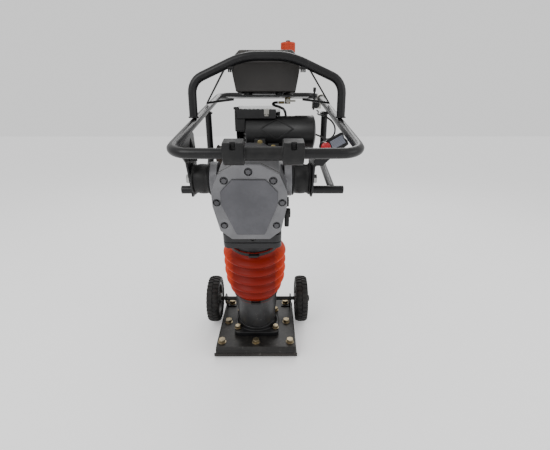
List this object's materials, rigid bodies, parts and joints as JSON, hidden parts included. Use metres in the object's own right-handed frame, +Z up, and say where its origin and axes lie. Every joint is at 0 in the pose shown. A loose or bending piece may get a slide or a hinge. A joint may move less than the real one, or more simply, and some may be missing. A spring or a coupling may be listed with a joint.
{
  "type": "jumping jack rammer",
  "caption": "Upright tamping rammer: flat shoe on a leaning sprung leg with bellows, cast gear case, small engine, looped tube handle, fuel tank and transport wheels.",
  "frame": {"origin": "centre of the flat underside of the shoe, on the ground", "axes": "+Z up, -Y the front where the toe of the shoe and the free handle bar are, +X to the right of someone facing the front"},
  "size_m": [0.4865, 0.776, 1.0263],
  "materials": {
    "wear_steel": "worn black paint over steel, scuffed at the edges",
    "board": "laminated board, sealed",
    "shoe_black": "dusty black paint",
    "zinc_bolt": "yellow zinc plate",
    "black_paint": "satin black paint",
    "leg_steel": "dark grey satin",
    "bright_steel": "machined steel",
    "spring_steel": "oiled spring steel",
    "cast_alloy": "sand cast, grey",
    "panel_dark": "charcoal paint, fine texture",
    "engine_alloy": "die cast, matt",
    "gear_steel": "hardened steel with oil film",
    "gasket": "black gasket",
    "rubber": "moulded black rubber",
    "bellows_red": "orange red flexible bellows",
    "rim_grey": "grey paint",
    "tyre": "solid black tyre",
    "black_plastic": "grained black plastic",
    "tank_plastic": "charcoal moulded polyethylene",
    "cap_orange": "orange red moulded plastic",
    "heat_black": "heat proof black with rust at the seams",
    "brass": "dull brass",
    "lever_steel": "bright zinc plate",
    "red_button": "red moulded plastic",
    "label": "printed film",
    "hose": "black hose"
  },
  "bodies": {
    "foot": {"wear_plate": "wear_steel", "sole_board": "board", "shoe_top": "shoe_black", "shoe_bolts": "zinc_bolt", "foot_casting": "black_paint", "leg_tube": "leg_steel", "lower_clamp": "black_paint", "piston_rod": "bright_steel", "springs": "spring_steel", "wheel_bracket": "black_paint"},
    "wheel_left": {"wheel_rim_left": "rim_grey", "wheel_tyre_left": "tyre"},
    "wheel_right": {"wheel_rim_right": "rim_grey", "wheel_tyre_right": "tyre"},
    "machine": {"guide_cylinder": "cast_alloy", "bellows": "bellows_red", "upper_clamp": "black_paint", "case_bolts": "bright_steel", "gear_case": "cast_alloy", "case_gasket": "gasket", "case_cover": "cast_alloy", "cover_panel": "panel_dark", "sight_glass": "black_plastic", "shock_mounts": "rubber", "clutch_housing": "engine_alloy", "engine_block": "engine_alloy", "cylinder_fins": "engine_alloy", "engine_shroud": "black_paint", "spark_plug": "rubber", "muffler": "heat_black", "carburettor": "engine_alloy", "fan_housing": "black_plastic", "air_cleaner": "black_plastic", "air_duct": "black_plastic"},
    "crank": {"crank_gear": "gear_steel"},
    "con_rod": {"con_rod": "gear_steel"},
    "clutch_drum": {"clutch_drum": "gear_steel"},
    "engine_shaft": {"engine_shaft": "gear_steel"},
    "throttle_arm": {"throttle_arm": "lever_steel"},
    "choke_lever": {"choke_lever": "black_plastic"},
    "starter_pulley": {"starter_pulley": "black_plastic"},
    "pull_grip": {"pull_grip": "black_plastic"},
    "handle": {"handle_loop": "black_paint", "arch": "black_paint", "side_frames": "black_paint", "mount_brackets": "black_paint", "label_plate": "label", "mount_bolts": "bright_steel", "rubber_blocks": "rubber", "tank_tray": "black_paint", "fuel_tank": "tank_plastic", "fuel_tap": "brass", "throttle_bracket": "lever_steel", "stop_switch": "black_plastic", "throttle_cable": "hose", "fuel_hose": "hose"},
    "fuel_cap": {"fuel_cap": "cap_orange"},
    "tap_lever": {"tap_lever": "lever_steel"},
    "throttle_lever": {"throttle_lever": "black_plastic"},
    "stop_button": {"stop_button": "red_button"}
  },
  "joints": [
    {"name": "leg_stroke", "type": "slide", "parent": "foot", "child": "machine", "axis": [0, -0.1994, 0.9799], "range_m": [0, 0.065], "deforming": ["bellows"]},
    {"name": "crank_turn", "type": "hinge", "parent": "machine", "child": "crank", "pos_m": [0, -0.10331, 0.64413], "axis": [0, 0.9799, 0.1994], "continuous": true},
    {"name": "con_rod_swing", "type": "hinge", "parent": "crank", "child": "con_rod", "pos_m": [0, -0.13221, 0.60559], "axis": [0, 0.9799, 0.1994], "continuous": true},
    {"name": "drum_turn", "type": "hinge", "parent": "machine", "child": "clutch_drum", "pos_m": [0.04, -0.06317, 0.56718], "axis": [0, 0.9799, 0.1994], "continuous": true},
    {"name": "engine_turn", "type": "hinge", "parent": "machine", "child": "engine_shaft", "pos_m": [0.04, 0.09362, 0.59908], "axis": [0, 0.9799, 0.1994], "continuous": true},
    {"name": "handle_rock", "type": "hinge", "parent": "machine", "child": "handle", "pos_m": [0, -0.14645, 0.64046], "axis": [1, 0, 0], "range_deg": [-2.5, 2.5], "stiffness_Nm_per_rad": 4000, "deforming": ["throttle_cable", "fuel_hose"]},
    {"name": "throttle_lever_turn", "type": "hinge", "parent": "handle", "child": "throttle_lever", "pos_m": [0.233, 0.2745, 0.85366], "axis": [0, -0.9799, -0.1994], "range_deg": [0, 50]},
    {"name": "throttle_arm_turn", "type": "hinge", "parent": "machine", "child": "throttle_arm", "pos_m": [0.105, 0.0587, 0.75567], "axis": [0, -0.1994, 0.9799], "range_deg": [0, 50]},
    {"name": "choke_turn", "type": "hinge", "parent": "machine", "child": "choke_lever", "pos_m": [0.084, 0.0467, 0.70934], "axis": [0, -0.9799, -0.1994], "range_deg": [0, 60]},
    {"name": "pulley_turn", "type": "hinge", "parent": "machine", "child": "starter_pulley", "pos_m": [0.04, 0.21415, 0.6236], "axis": [0, 0.9799, 0.1994], "range_deg": [0, 75]},
    {"name": "grip_pull", "type": "slide", "parent": "machine", "child": "pull_grip", "axis": [0, -0.1994, 0.9799], "range_m": [0, 0.06], "stiffness_N_per_m": 60, "springref_m": -0.05},
    {"name": "cap_lift", "type": "slide", "parent": "handle", "child": "fuel_cap", "axis": [0, 0, 1], "range_m": [0, 0.04]},
    {"name": "tap_turn", "type": "hinge", "parent": "handle", "child": "tap_lever", "pos_m": [0.11, 0, 0.858], "axis": [0, 1, 0], "range_deg": [0, 90]},
    {"name": "stop_press", "type": "slide", "parent": "handle", "child": "stop_button", "axis": [0, 1, 0], "range_m": [0, 0.003], "stiffness_N_per_m": 800},
    {"name": "wheel_left_roll", "type": "hinge", "parent": "foot", "child": "wheel_left", "pos_m": [-0.176, 0.069, 0.105], "axis": [1, 0, 0], "continuous": true},
    {"name": "wheel_right_roll", "type": "hinge", "parent": "foot", "child": "wheel_right", "pos_m": [0.176, 0.069, 0.105], "axis": [1, 0, 0], "continuous": true}
  ],
  "couplings": [
    {"joint": "con_rod_swing", "follows": "crank_turn", "ratio": -1},
    {"joint": "drum_turn", "follows": "crank_turn", "ratio": -3.9333},
    {"joint": "throttle_arm_turn", "follows": "throttle_lever_turn", "ratio": 1},
    {"joint": "pulley_turn", "follows": "grip_pull", "rad_per_m": 20}
  ]
}
